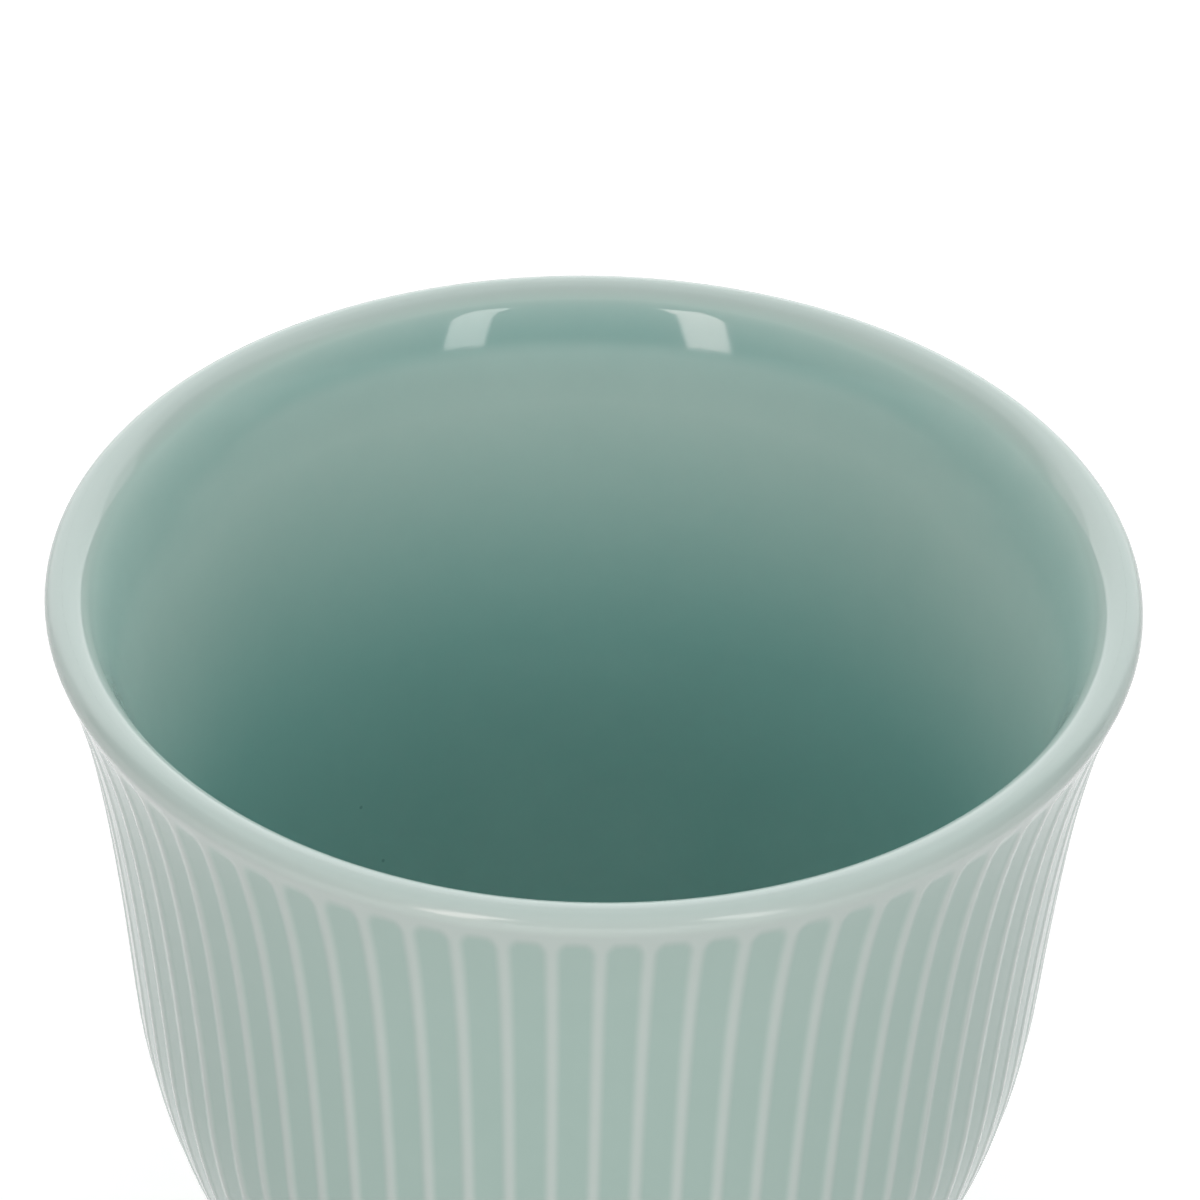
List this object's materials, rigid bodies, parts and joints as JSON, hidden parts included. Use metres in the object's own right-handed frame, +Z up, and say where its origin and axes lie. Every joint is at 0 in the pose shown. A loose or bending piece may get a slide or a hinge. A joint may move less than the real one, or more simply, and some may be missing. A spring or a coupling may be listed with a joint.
{
  "type": "tasting cup",
  "caption": "Handleless porcelain tasting cup with a flared rim, fine embossed upright ribs, a celadon glaze inside and out, and a bare foot ring.",
  "frame": {"origin": "centre of the circle that the foot ring stands on", "axes": "+Z up along the cup's axis; a rib lies on +X"},
  "size_m": [0.088, 0.088, 0.08],
  "materials": {
    "porcelain": "bare fired porcelain, smooth and matt, seen on the foot ring",
    "outer_glaze": "glossy celadon glaze, paler where it is thin on the ribs and the lip",
    "liner_glaze": "glossy celadon glaze, even and pooled in the bowl",
    "base_glaze": "glossy celadon glaze in the recess under the floor"
  },
  "bodies": {
    "root": {"porcelain_body": "porcelain", "outer_glaze": "outer_glaze", "liner_glaze": "liner_glaze", "base_glaze": "base_glaze"}
  },
  "joints": []
}
